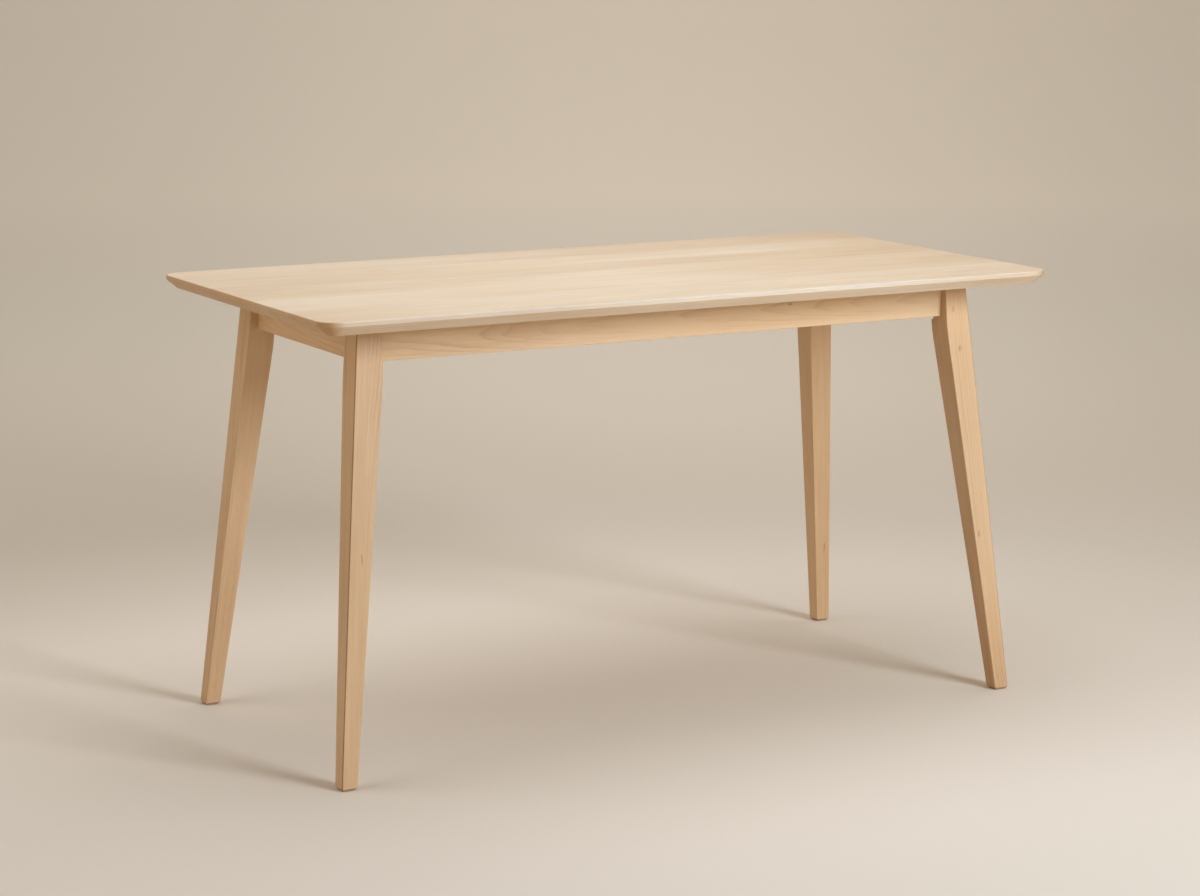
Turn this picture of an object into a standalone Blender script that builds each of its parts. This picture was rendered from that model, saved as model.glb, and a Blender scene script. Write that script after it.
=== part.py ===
"""Communion table: a plain rectangular top of edge-glued staves on four splayed legs, in pale solid wood.

Metres, +Z up. X runs along the table's length and Y across its depth, with the front at -Y.
The origin is on the floor under the middle of the top. Left is -X and right is +X.
"""

import math

import bmesh
import bpy
from mathutils import Matrix, Vector

# Whole table
TABLE_LENGTH = 1.365
TABLE_DEPTH = 0.690
TABLE_HEIGHT = 0.750
GAP = 0.0003  # left between pieces that touch
PAST = 0.010  # how far a cutter runs out past the face it opens

# Top
TOP_THICKNESS = 0.023
CORNER_RADIUS = 0.035  # in plan
CORNER_STEPS = 8
EDGE_BAND = 0.0075  # upright band of the edge, eased arris included
EDGE_EASE = 0.003  # radius of the arris round the top face
EDGE_EASE_STEPS = 3
BEVEL_INSET = 0.0185  # how far the bevel under the edge runs in
STAVE_WIDTHS = (0.138, 0.150, 0.088, 0.088, 0.108, 0.118)  # front to rear
UNDERSIDE = TABLE_HEIGHT - TOP_THICKNESS

# Legs: outer faces lean out in one straight plane, inner faces are upright down to the knee
LEG_TOP_X = 0.579  # outer faces at the underside of the top
LEG_TOP_Y = 0.235
LEG_TOP_SECTION = 0.0415
LEG_SPLAY = 0.067  # how far each outer face leans out from the top to the floor
FOOT_SECTION = 0.027
KNEE_HEIGHT = 0.648  # where the taper of the inner faces starts
KNEE_BLEND = 0.026  # half the height of the curve there
KNEE_STEPS = 6
LEG_EASE = 0.0018
LEG_INNER_X = LEG_TOP_X - LEG_TOP_SECTION
LEG_INNER_Y = LEG_TOP_Y - LEG_TOP_SECTION

# Aprons
APRON_BOTTOM = 0.665
APRON_THICKNESS = 0.020
APRON_SETBACK = 0.0115  # from the leg's outer face at the underside of the top
APRON_EASE = 0.0015
APRON_TOP = UNDERSIDE - GAP
FRONT_FACE_Y = LEG_TOP_Y - APRON_SETBACK
END_FACE_X = LEG_TOP_X - APRON_SETBACK
FRONT_INNER_Y = FRONT_FACE_Y - APRON_THICKNESS
END_INNER_X = END_FACE_X - APRON_THICKNESS
TENON_LENGTH = 0.010
TENON_THICKNESS = 0.008
TENON_SHOULDER = 0.0025  # at the apron's outer face
TENON_MARGIN = 0.010  # above and below the tenon

# Rail across the middle, housed in the long aprons
RAIL_WIDTH = 0.022
RAIL_HEIGHT = 0.045
HOUSING_DEPTH = 0.006

# Corner blocks, each a trapezium in plan that closes a corner of the apron frame
BLOCK_OUTER = 0.027  # from the corner of the aprons' inner faces, along the diagonal
BLOCK_INNER = 0.049
BLOCK_HEIGHT = 0.044
BOLT_HEIGHT = 0.696
BOLT_FLAT = 0.005  # how deep the leg's inner arris is cut to a flat for the bolt
BOLT_FLAT_WIDTH = 0.060
BOLT_FLAT_HEIGHT = 0.080

# Hanger bolts, nuts and washers
BOLT_RADIUS = 0.004
BOLT_HOLE_RADIUS = 0.0045
BOLT_TIP_RADIUS = 0.0015
BOLT_TIP_LENGTH = 0.007
BOLT_CHAMFER = 0.0008
BOLT_DEPTH_IN_LEG = 0.025  # past the corner of the aprons' inner faces
BOLT_STANDS_PROUD = 0.006  # beyond the nut
BOLT_BORE_END = 0.080  # where the bores along the diagonal stop, clear of every bolt
WASHER_RADIUS = 0.010
WASHER_THICKNESS = 0.0016
NUT_ACROSS_FLATS = 0.013
NUT_THICKNESS = 0.0065

# Wood screws, one kind for the blocks and a shorter one for the clips
SCREW_RADIUS = 0.002
SCREW_HEAD_RADIUS = 0.004
SCREW_HEAD_HEIGHT = 0.0022
SCREW_TIP_LENGTH = 0.004
SCREW_CLEARANCE = 0.0004
PILOT_PAST_TIP = 0.001
BLOCK_SCREW_LENGTH = 0.024
BLOCK_SCREW_SEAT = 0.010  # wood left under the head
COUNTERBORE_RADIUS = 0.005
CLIP_SCREW_LENGTH = 0.014

# Clips that hold the top down: a tab in a slot of the apron, a riser and a flange under the top
CLIP_WIDTH = 0.016
CLIP_STEEL = 0.0015
CLIP_RISER = 0.0025  # from the apron's inner face
CLIP_DROP = 0.010  # from the underside of the top down to the tab
CLIP_REACH = 0.024
CLIP_TAB = 0.007
CLIP_HOLE = 0.014  # from the apron's inner face
SLOT_CLEARANCE = 0.0005
CLIPS_ALONG_LENGTH = 0.300
CLIPS_ALONG_DEPTH = 0.090

# Pads under the feet
PAD_SIDE = 0.0235
PAD_THICKNESS = 0.002
PAD_CORNER = 0.004

ROUND_SIDES = 16
PILOT_SIDES = 12
WASHER_SIDES = 24

CORNERS = (
    ("front_left", -1, -1),
    ("front_right", 1, -1),
    ("rear_left", -1, 1),
    ("rear_right", 1, 1),
)

# Name: linear base colour, roughness, metallic
FINISHES = {
    "top_wood": ((0.74, 0.58, 0.40), 0.38, 0.0),
    "leg_wood": ((0.62, 0.42, 0.24), 0.45, 0.0),
    "apron_wood": ((0.64, 0.44, 0.26), 0.45, 0.0),
    "inner_wood": ((0.58, 0.41, 0.25), 0.60, 0.0),
    "zinc_steel": ((0.60, 0.60, 0.58), 0.35, 1.0),
    "felt": ((0.16, 0.15, 0.14), 0.95, 0.0),
}


# ---------------------------------------------------------------- helpers


def make_material(name):
    colour, roughness, metallic = FINISHES[name]
    material = bpy.data.materials.new(name)
    material.use_nodes = True
    shader = material.node_tree.nodes["Principled BSDF"]
    shader.inputs["Base Color"].default_value = (*colour, 1.0)
    shader.inputs["Roughness"].default_value = roughness
    shader.inputs["Metallic"].default_value = metallic
    return material


def object_from(name, bm, finish=None):
    """A linked object that takes over the mesh being built."""
    bmesh.ops.recalc_face_normals(bm, faces=bm.faces)
    mesh = bpy.data.meshes.new(name)
    bm.to_mesh(mesh)
    bm.free()
    piece = bpy.data.objects.new(name, mesh)
    bpy.context.scene.collection.objects.link(piece)
    if finish:
        mesh.materials.append(MATERIALS[finish])
    return piece


def as_cutter(piece):
    piece.hide_render = True
    piece.display_type = "WIRE"
    return piece


def boolean(piece, other, operation="DIFFERENCE"):
    modifier = piece.modifiers.new(f"{operation.title()} {other.name}", "BOOLEAN")
    modifier.operation = operation
    modifier.object = other
    modifier.solver = "EXACT"


def loft(rings):
    """A closed skin through rings of points, each with the same number of points."""
    bm = bmesh.new()
    loops = [[bm.verts.new(point) for point in ring] for ring in rings]
    for lower, upper in zip(loops, loops[1:]):
        for i in range(len(lower)):
            j = (i + 1) % len(lower)
            bm.faces.new((lower[i], lower[j], upper[j], upper[i]))
    bm.faces.new(loops[0][::-1])
    bm.faces.new(loops[-1])
    return bm


def prism(outline, direction):
    """An outline of points in space, extruded along a direction."""
    bm = bmesh.new()
    base = bm.faces.new([bm.verts.new(point) for point in outline])
    grown = bmesh.ops.extrude_face_region(bm, geom=[base])
    moved = [item for item in grown["geom"] if isinstance(item, bmesh.types.BMVert)]
    bmesh.ops.translate(bm, vec=direction, verts=moved)
    return bm


def box(low, high):
    size = [b - a for a, b in zip(low, high)]
    middle = [(a + b) / 2 for a, b in zip(low, high)]
    bm = bmesh.new()
    bmesh.ops.create_cube(bm, size=1.0)
    bmesh.ops.scale(bm, vec=size, verts=bm.verts)
    bmesh.ops.translate(bm, vec=middle, verts=bm.verts)
    return bm


def turned(profile, sides=ROUND_SIDES):
    """A body of revolution about Z. The profile's points are (radius, height), from axis to axis."""
    bm = bmesh.new()
    verts = [bm.verts.new((radius, 0.0, height)) for radius, height in profile]
    edges = [bm.edges.new(pair) for pair in zip(verts, verts[1:])]
    bmesh.ops.spin(bm, geom=verts + edges, cent=(0, 0, 0), axis=(0, 0, 1), angle=math.tau, steps=sides)
    bmesh.ops.remove_doubles(bm, verts=bm.verts, dist=1e-6)
    return bm


def cylinder(radius, low, high, sides=ROUND_SIDES):
    return turned([(0, low), (radius, low), (radius, high), (0, high)], sides)


def aim(piece, point, direction):
    """Puts a piece that was built about Z at a point, with its Z along a direction."""
    turn = Vector(direction).to_track_quat("Z", "Y").to_matrix().to_4x4()
    piece.matrix_world = Matrix.Translation(point) @ turn
    return piece


def shade(piece, angle_deg=40):
    piece.data.shade_smooth()
    piece.data.set_sharp_from_angle(angle=math.radians(angle_deg))


def ease_edges(piece, is_eased, width, segments=2):
    """A Bevel on the edges that the test picks, by their weight."""
    bm = bmesh.new()
    bm.from_mesh(piece.data)
    weight = bm.edges.layers.float.new("bevel_weight_edge")
    for edge in bm.edges:
        edge[weight] = 1.0 if is_eased(edge) else 0.0
    bm.to_mesh(piece.data)
    bm.free()
    modifier = piece.modifiers.new("Eased arrises", "BEVEL")
    modifier.limit_method = "WEIGHT"
    modifier.width = width
    modifier.segments = segments


# ---------------------------------------------------------------- top


def rounded_outline(inset, height):
    """The top's plan outline, moved in by an inset, at a height."""
    half_x = TABLE_LENGTH / 2
    half_y = TABLE_DEPTH / 2
    radius = CORNER_RADIUS - inset
    points = []
    for quarter, (sign_x, sign_y) in enumerate(((1, 1), (-1, 1), (-1, -1), (1, -1))):
        centre_x = sign_x * (half_x - CORNER_RADIUS)
        centre_y = sign_y * (half_y - CORNER_RADIUS)
        for step in range(CORNER_STEPS + 1):
            angle = math.radians(90 * (quarter + step / CORNER_STEPS))
            x = centre_x + radius * math.cos(angle)
            y = centre_y + radius * math.sin(angle)
            points.append((x, y, height))
    return points


def make_top_blank():
    """The whole top as one body, from which each stave is cut."""
    rings = [
        rounded_outline(BEVEL_INSET, UNDERSIDE),
        rounded_outline(0.0, TABLE_HEIGHT - EDGE_BAND),
    ]
    for step in range(EDGE_EASE_STEPS + 1):
        angle = math.pi / 2 * step / EDGE_EASE_STEPS
        inset = EDGE_EASE * (1 - math.cos(angle))
        height = TABLE_HEIGHT - EDGE_EASE * (1 - math.sin(angle))
        rings.append(rounded_outline(inset, height))
    return as_cutter(object_from("top_blank", loft(rings)))


def stave_spans():
    """The front and rear edge of each stave."""
    front = -TABLE_DEPTH / 2
    for width in STAVE_WIDTHS:
        yield front, front + width
        front += width


def make_staves(clip_pilots):
    blank = make_top_blank()
    last = len(STAVE_WIDTHS) - 1
    for i, (front, rear) in enumerate(stave_spans()):
        low_y = front - PAST if i == 0 else front + GAP / 2
        high_y = rear + PAST if i == last else rear - GAP / 2
        low = (-TABLE_LENGTH / 2 - PAST, low_y, UNDERSIDE - PAST)
        high = (TABLE_LENGTH / 2 + PAST, high_y, TABLE_HEIGHT + PAST)
        stave = object_from(f"top_stave_{i + 1}", box(low, high), "top_wood")
        boolean(stave, blank, "INTERSECT")
        for pilot in clip_pilots:
            if low_y < pilot.location.y < high_y:
                boolean(stave, pilot)


# ---------------------------------------------------------------- legs


def leg_outer(top_value, height):
    return top_value + LEG_SPLAY * (1 - height / UNDERSIDE)


def leg_inner(top_value, height):
    """The inner face: upright, then a parabola round the knee, then a straight taper to the foot."""
    foot = top_value + LEG_TOP_SECTION + LEG_SPLAY - FOOT_SECTION
    slope = (foot - top_value) / KNEE_HEIGHT
    below_curve_start = KNEE_HEIGHT + KNEE_BLEND - height
    if below_curve_start <= 0:
        return top_value
    if below_curve_start < 2 * KNEE_BLEND:
        return top_value + slope * below_curve_start**2 / (4 * KNEE_BLEND)
    return top_value + slope * (KNEE_HEIGHT - height)


def leg_ring(sign_x, sign_y, height):
    inner_x = sign_x * leg_inner(LEG_INNER_X, height)
    outer_x = sign_x * leg_outer(LEG_TOP_X, height)
    inner_y = sign_y * leg_inner(LEG_INNER_Y, height)
    outer_y = sign_y * leg_outer(LEG_TOP_Y, height)
    corners = ((inner_x, inner_y), (outer_x, inner_y), (outer_x, outer_y), (inner_x, outer_y))
    return [(x, y, height) for x, y in corners]


def diagonal_of(sign_x, sign_y):
    """The corner of the aprons' inner faces at bolt height, and the way in from it."""
    start = Vector((sign_x * END_INNER_X, sign_y * FRONT_INNER_Y, BOLT_HEIGHT))
    inward = Vector((-sign_x, -sign_y, 0)).normalized()
    return start, inward


def make_mortise(name, sign_x, sign_y, along_x):
    """The space for one apron's tenon, with clearance all round. It is open at the leg's inner face."""
    low_z = APRON_BOTTOM + TENON_MARGIN - GAP
    high_z = APRON_TOP - TENON_MARGIN + GAP
    face = LEG_INNER_X if along_x else LEG_INNER_Y
    outer = (FRONT_FACE_Y if along_x else END_FACE_X) - TENON_SHOULDER + GAP
    depth = (face - PAST, face + TENON_LENGTH + GAP)
    across = (outer - TENON_THICKNESS - 2 * GAP, outer)
    spans = (depth, across) if along_x else (across, depth)
    signed = [sorted(sign * value for value in span) for sign, span in zip((sign_x, sign_y), spans)]
    low = (signed[0][0], signed[1][0], low_z)
    high = (signed[0][1], signed[1][1], high_z)
    return as_cutter(object_from(name, box(low, high)))


def make_leg(corner, sign_x, sign_y):
    foot = PAD_THICKNESS + GAP
    curve = [KNEE_HEIGHT - KNEE_BLEND + 2 * KNEE_BLEND * i / KNEE_STEPS for i in range(KNEE_STEPS + 1)]
    heights = [foot, *curve, APRON_TOP]
    leg = object_from(f"leg_{corner}", loft([leg_ring(sign_x, sign_y, z) for z in heights]), "leg_wood")

    def is_arris(edge):
        low, high = sorted(vert.co.z for vert in edge.verts)
        return high - low > 1e-4 or high < foot + 1e-4

    ease_edges(leg, is_arris, LEG_EASE)
    boolean(leg, make_mortise(f"mortise_x_{corner}", sign_x, sign_y, True))
    boolean(leg, make_mortise(f"mortise_y_{corner}", sign_x, sign_y, False))

    start, inward = diagonal_of(sign_x, sign_y)
    leg_corner = Vector((sign_x * LEG_INNER_X, sign_y * LEG_INNER_Y, BOLT_HEIGHT))
    flat_at = leg_corner - inward * BOLT_FLAT
    half_width = BOLT_FLAT_WIDTH / 2
    half_height = BOLT_FLAT_HEIGHT / 2
    flat = box((-half_width, -half_height, 0), (half_width, half_height, BOLT_FLAT + PAST))
    boolean(leg, as_cutter(aim(object_from(f"bolt_flat_{corner}", flat), flat_at, inward)))
    hole = cylinder(BOLT_RADIUS + GAP, -BOLT_DEPTH_IN_LEG - PILOT_PAST_TIP, BLOCK_OUTER)
    boolean(leg, as_cutter(aim(object_from(f"leg_hole_{corner}", hole), start, inward)))
    shade(leg, 30)


# ---------------------------------------------------------------- aprons and rail


def apron_ring(x, low_y, high_y, low_z, high_z):
    return [(x, low_y, low_z), (x, high_y, low_z), (x, high_y, high_z), (x, low_y, high_z)]


def make_apron(name, half_length, outer_face, turn_deg):
    """An apron built along X with its outer face towards -Y, then turned about Z to its side."""
    body = (-outer_face, -outer_face + APRON_THICKNESS, APRON_BOTTOM, APRON_TOP)
    tenon_front = -outer_face + TENON_SHOULDER
    tenon = (
        tenon_front,
        tenon_front + TENON_THICKNESS,
        APRON_BOTTOM + TENON_MARGIN,
        APRON_TOP - TENON_MARGIN,
    )
    shoulder = half_length - GAP
    tip = half_length + TENON_LENGTH - GAP
    left_end = ((-tip, tenon), (-shoulder, tenon), (-shoulder, body))
    right_end = ((shoulder, body), (shoulder, tenon), (tip, tenon))
    sections = left_end + right_end
    apron = object_from(name, loft([apron_ring(x, *section) for x, section in sections]), "apron_wood")

    def is_lower_arris(edge):
        a, b = (vert.co for vert in edge.verts)
        return abs(a.x - b.x) > half_length and max(a.z, b.z) < APRON_BOTTOM + 1e-4

    ease_edges(apron, is_lower_arris, APRON_EASE)
    apron.rotation_euler.z = math.radians(turn_deg)
    return apron


def make_rail(front_apron, rear_apron):
    half_width = RAIL_WIDTH / 2
    end = FRONT_INNER_Y + HOUSING_DEPTH
    bottom = APRON_TOP - RAIL_HEIGHT
    rail = object_from(
        "cross_rail",
        box((-half_width, -end + GAP, bottom), (half_width, end - GAP, APRON_TOP)),
        "inner_wood",
    )

    def is_lower_arris(edge):
        a, b = (vert.co for vert in edge.verts)
        return abs(a.y - b.y) > end and max(a.z, b.z) < bottom + 1e-4

    ease_edges(rail, is_lower_arris, APRON_EASE)
    low = (-half_width - GAP, -end, bottom - GAP)
    high = (half_width + GAP, end, UNDERSIDE + PAST)
    housing = as_cutter(object_from("rail_housing", box(low, high)))
    boolean(front_apron, housing)
    boolean(rear_apron, housing)


# ---------------------------------------------------------------- corner blocks and bolts


def make_corner_block(corner, sign_x, sign_y):
    start, inward = diagonal_of(sign_x, sign_y)
    across = Vector((-inward.y, inward.x, 0))
    slack = GAP * math.sqrt(2)
    outline = []
    for depth, side in ((BLOCK_OUTER, -1), (BLOCK_OUTER, 1), (BLOCK_INNER, 1), (BLOCK_INNER, -1)):
        outline.append(start + inward * depth + across * side * (depth - slack))
    bottom = Vector((0, 0, -BLOCK_HEIGHT / 2))
    bm = prism([point + bottom for point in outline], (0, 0, BLOCK_HEIGHT))
    block = object_from(f"corner_block_{corner}", bm, "inner_wood")
    hole = object_from(f"block_hole_{corner}", cylinder(BOLT_HOLE_RADIUS, 0, BOLT_BORE_END))
    boolean(block, as_cutter(aim(hole, start, inward)))
    return block


def screw_profile(length):
    """A pan head screw, its tip at the bottom and its head's bearing face at height 0."""
    return [
        (0, -length),
        (SCREW_RADIUS * 0.3, -length),
        (SCREW_RADIUS, -length + SCREW_TIP_LENGTH),
        (SCREW_RADIUS, 0),
        (SCREW_HEAD_RADIUS, 0),
        (SCREW_HEAD_RADIUS, SCREW_HEAD_HEIGHT * 0.45),
        (SCREW_HEAD_RADIUS * 0.7, SCREW_HEAD_HEIGHT),
        (0, SCREW_HEAD_HEIGHT),
    ]


def make_block_screws(corner, sign_x, sign_y, block, front_apron, end_apron):
    """Two screws, square to the aprons, from counterbores in the block's inner face."""
    start = diagonal_of(sign_x, sign_y)[0]
    along = (BLOCK_OUTER + BLOCK_INNER) / math.sqrt(2)
    sides = (
        ("long", Vector((-sign_x, 0, 0)), Vector((0, -sign_y, 0)), front_apron),
        ("end", Vector((0, -sign_y, 0)), Vector((-sign_x, 0, 0)), end_apron),
    )
    for side, run, away, apron in sides:
        foot = start + run * along
        seat = foot + away * (BLOCK_SCREW_SEAT + GAP)
        screw = object_from(
            f"block_screw_{side}_{corner}", turned(screw_profile(BLOCK_SCREW_LENGTH)), "zinc_steel"
        )
        aim(screw, seat, away)
        shade(screw)
        hole = cylinder(SCREW_RADIUS + SCREW_CLEARANCE, -BLOCK_SCREW_LENGTH - PILOT_PAST_TIP, PAST)
        shank = as_cutter(aim(object_from(f"screw_hole_{side}_{corner}", hole), seat, away))
        wide = cylinder(COUNTERBORE_RADIUS, -GAP, BLOCK_INNER - BLOCK_OUTER)
        counterbore = as_cutter(aim(object_from(f"counterbore_{side}_{corner}", wide), seat, away))
        boolean(block, shank)
        boolean(block, counterbore)
        boolean(apron, shank)


def make_bolt_set(corner, sign_x, sign_y):
    """A hanger bolt from the leg through the block, its washer and its nut."""
    start, inward = diagonal_of(sign_x, sign_y)
    washer_at = BLOCK_INNER + GAP
    nut_at = washer_at + WASHER_THICKNESS + GAP
    bolt_end = nut_at + NUT_THICKNESS + BOLT_STANDS_PROUD
    profile = [
        (0, -BOLT_DEPTH_IN_LEG),
        (BOLT_TIP_RADIUS, -BOLT_DEPTH_IN_LEG),
        (BOLT_RADIUS, -BOLT_DEPTH_IN_LEG + BOLT_TIP_LENGTH),
        (BOLT_RADIUS, bolt_end - BOLT_CHAMFER),
        (BOLT_RADIUS - BOLT_CHAMFER, bolt_end),
        (0, bolt_end),
    ]
    bolt = object_from(f"hanger_bolt_{corner}", turned(profile), "zinc_steel")
    aim(bolt, start, inward)
    shade(bolt)

    bore = object_from(f"bore_{corner}", cylinder(BOLT_RADIUS + GAP, 0, BOLT_BORE_END))
    as_cutter(aim(bore, start, inward))
    disc = cylinder(WASHER_RADIUS, 0, WASHER_THICKNESS, WASHER_SIDES)
    washer = object_from(f"washer_{corner}", disc, "zinc_steel")
    aim(washer, start + inward * washer_at, inward)
    boolean(washer, bore)
    shade(washer)
    nut_radius = NUT_ACROSS_FLATS / math.sqrt(3)
    nut = object_from(f"nut_{corner}", cylinder(nut_radius, 0, NUT_THICKNESS, 6), "zinc_steel")
    aim(nut, start + inward * nut_at, inward)
    boolean(nut, bore)


# ---------------------------------------------------------------- clips


def make_clip(number, foot, away, apron):
    """One clip, its screw, the slot for its tab and the pilot hole in the top.

    foot is the point of the apron's inner face right under the top, away points to the table's middle.
    """
    up = Vector((0, 0, 1))
    across = up.cross(away)
    bend_in = CLIP_RISER + CLIP_STEEL
    under = -GAP - CLIP_STEEL
    section = (
        (CLIP_REACH, -GAP),
        (CLIP_RISER, -GAP),
        (CLIP_RISER, -CLIP_DROP),
        (-CLIP_TAB, -CLIP_DROP),
        (-CLIP_TAB, -CLIP_DROP - CLIP_STEEL),
        (bend_in, -CLIP_DROP - CLIP_STEEL),
        (bend_in, under),
        (CLIP_REACH, under),
    )
    side = foot - across * CLIP_WIDTH / 2
    outline = [side + away * reach + up * height for reach, height in section]
    clip = object_from(f"top_clip_{number}", prism(outline, across * CLIP_WIDTH), "zinc_steel")

    seat = foot + away * CLIP_HOLE + up * (under - GAP)
    screw = object_from(f"clip_screw_{number}", turned(screw_profile(CLIP_SCREW_LENGTH)), "zinc_steel")
    aim(screw, seat, -up)
    shade(screw)
    hole = cylinder(
        SCREW_RADIUS + SCREW_CLEARANCE, -CLIP_SCREW_LENGTH - PILOT_PAST_TIP, SCREW_HEAD_HEIGHT, PILOT_SIDES
    )
    pilot = object_from(f"pilot_{number}", hole)
    pilot.location = seat
    pilot.rotation_euler.x = math.pi
    as_cutter(pilot)
    boolean(clip, pilot)

    reach = CLIP_TAB + SLOT_CLEARANCE
    half = CLIP_WIDTH / 2 + SLOT_CLEARANCE
    corners = (
        foot - away * reach - across * half + up * (-CLIP_DROP - CLIP_STEEL - SLOT_CLEARANCE),
        foot + away * PAST + across * half + up * (-CLIP_DROP + SLOT_CLEARANCE),
    )
    low = [min(pair) for pair in zip(*corners)]
    high = [max(pair) for pair in zip(*corners)]
    boolean(apron, as_cutter(object_from(f"slot_{number}", box(low, high))))
    return pilot


# ---------------------------------------------------------------- floor pads


def make_pad(corner, sign_x, sign_y):
    middle_x = LEG_TOP_X + LEG_SPLAY - FOOT_SECTION / 2
    middle_y = LEG_TOP_Y + LEG_SPLAY - FOOT_SECTION / 2
    half = PAD_SIDE / 2
    pad = object_from(f"floor_pad_{corner}", box((-half, -half, 0), (half, half, PAD_THICKNESS)), "felt")

    def is_upright(edge):
        return abs(edge.verts[0].co.z - edge.verts[1].co.z) > PAD_THICKNESS / 2

    ease_edges(pad, is_upright, PAD_CORNER, 3)
    pad.location = (sign_x * middle_x, sign_y * middle_y, 0)


# ---------------------------------------------------------------- assembly


def clear_scene():
    for piece in list(bpy.data.objects):
        bpy.data.objects.remove(piece, do_unlink=True)


def build():
    aprons = {
        "front": make_apron("apron_front", LEG_INNER_X, FRONT_FACE_Y, 0),
        "rear": make_apron("apron_rear", LEG_INNER_X, FRONT_FACE_Y, 180),
        "left": make_apron("apron_left", LEG_INNER_Y, END_FACE_X, -90),
        "right": make_apron("apron_right", LEG_INNER_Y, END_FACE_X, 90),
    }
    make_rail(aprons["front"], aprons["rear"])
    for corner, sign_x, sign_y in CORNERS:
        long_apron = aprons["front" if sign_y < 0 else "rear"]
        end_apron = aprons["left" if sign_x < 0 else "right"]
        make_leg(corner, sign_x, sign_y)
        block = make_corner_block(corner, sign_x, sign_y)
        make_block_screws(corner, sign_x, sign_y, block, long_apron, end_apron)
        make_bolt_set(corner, sign_x, sign_y)
        make_pad(corner, sign_x, sign_y)

    places = []
    for sign_y, side in ((-1, "front"), (1, "rear")):
        for x in (-CLIPS_ALONG_LENGTH, CLIPS_ALONG_LENGTH):
            foot = Vector((x, sign_y * FRONT_INNER_Y, UNDERSIDE))
            places.append((foot, Vector((0, -sign_y, 0)), aprons[side]))
    for sign_x, side in ((-1, "left"), (1, "right")):
        for y in (-CLIPS_ALONG_DEPTH, CLIPS_ALONG_DEPTH):
            foot = Vector((sign_x * END_INNER_X, y, UNDERSIDE))
            places.append((foot, Vector((-sign_x, 0, 0)), aprons[side]))
    pilots = [make_clip(number, *place) for number, place in enumerate(places, start=1)]
    make_staves(pilots)


clear_scene()
MATERIALS = {name: make_material(name) for name in FINISHES}
build()
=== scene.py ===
"""Looks of the communion table: fine meshes, materials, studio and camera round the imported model.

Metres, +Z up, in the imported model's own frame. X runs along the table, -Y is its front and Z = 0 the floor.
"""

import math

import bmesh
import bpy
import numpy as np
from mathutils import Matrix, Vector, noise


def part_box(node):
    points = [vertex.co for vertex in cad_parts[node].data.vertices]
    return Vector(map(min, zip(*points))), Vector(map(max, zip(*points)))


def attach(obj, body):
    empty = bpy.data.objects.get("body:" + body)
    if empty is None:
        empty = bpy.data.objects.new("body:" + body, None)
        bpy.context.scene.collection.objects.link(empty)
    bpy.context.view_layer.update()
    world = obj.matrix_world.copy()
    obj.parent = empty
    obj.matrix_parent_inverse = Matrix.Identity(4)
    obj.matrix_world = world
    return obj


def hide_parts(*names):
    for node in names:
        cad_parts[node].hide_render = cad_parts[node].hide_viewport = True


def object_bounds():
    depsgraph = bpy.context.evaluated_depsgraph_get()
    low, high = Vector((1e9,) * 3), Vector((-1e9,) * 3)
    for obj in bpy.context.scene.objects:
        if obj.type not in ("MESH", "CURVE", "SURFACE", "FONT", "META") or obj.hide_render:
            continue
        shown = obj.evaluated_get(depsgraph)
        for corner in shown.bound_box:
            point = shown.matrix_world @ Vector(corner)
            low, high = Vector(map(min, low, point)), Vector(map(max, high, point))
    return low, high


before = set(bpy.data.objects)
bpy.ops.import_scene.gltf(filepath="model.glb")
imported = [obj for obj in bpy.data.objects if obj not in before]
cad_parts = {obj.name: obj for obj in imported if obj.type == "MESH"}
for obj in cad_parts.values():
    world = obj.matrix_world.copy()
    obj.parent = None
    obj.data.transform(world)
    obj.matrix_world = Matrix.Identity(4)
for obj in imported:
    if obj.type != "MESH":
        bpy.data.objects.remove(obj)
CAD_LOW, CAD_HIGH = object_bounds()

# Fits between pieces. Glued and tightened joints are closed up here
GLUE_LINE = 0.00003  # between staves
JOINT_LINE = 0.0001  # between an apron's shoulder and the leg
GAP = 0.0003
PAST = 0.010  # how far a cutter runs out past the face it opens

# Top
CORNER_RADIUS = 0.035
CORNER_STEPS = 16
EDGE_BAND = 0.0075
EDGE_EASE = 0.0018
BEVEL_INSET = 0.0185
BEVEL_EASE = 0.0012  # where the bevel meets the band, and where it meets the underside
SUPPORT = 0.004  # how far from an arris its wear and painted highlight die out
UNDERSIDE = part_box("top_stave_1")[0].z

# Legs
LEG_TOP_SECTION = 0.0415
FOOT_SECTION = 0.027
KNEE_HEIGHT = 0.648
KNEE_BLEND = 0.026
KNEE_STEPS = 14
LEG_EASE = 0.0018
FOOT_CHAMFER = 0.0018
FOOT_STEPS = 3

# Aprons, rail and corner blocks
APRON_EASE = 0.0015
TENON_THICKNESS = 0.008
TENON_SHOULDER = 0.0025
TENON_MARGIN = 0.010
TENON_ROOT = 0.004  # how far into its apron a tenon is built
HOUSING_DEPTH = 0.006
BLOCK_OUTER = 0.027
BLOCK_INNER = 0.049
BLOCK_EASE = 0.0009
BOLT_FLAT = 0.005
BOLT_FLAT_HALF_SIZES = (0.030, 0.040)  # across and up
APRON_LOW, APRON_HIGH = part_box("apron_front")
END_LOW, END_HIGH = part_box("apron_left")
APRON_BOTTOM = APRON_LOW.z
APRON_TOP = APRON_HIGH.z
FRONT_FACE_Y = -APRON_LOW.y
FRONT_INNER_Y = -APRON_HIGH.y
END_FACE_X = -END_LOW.x
END_INNER_X = -END_HIGH.x

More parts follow.
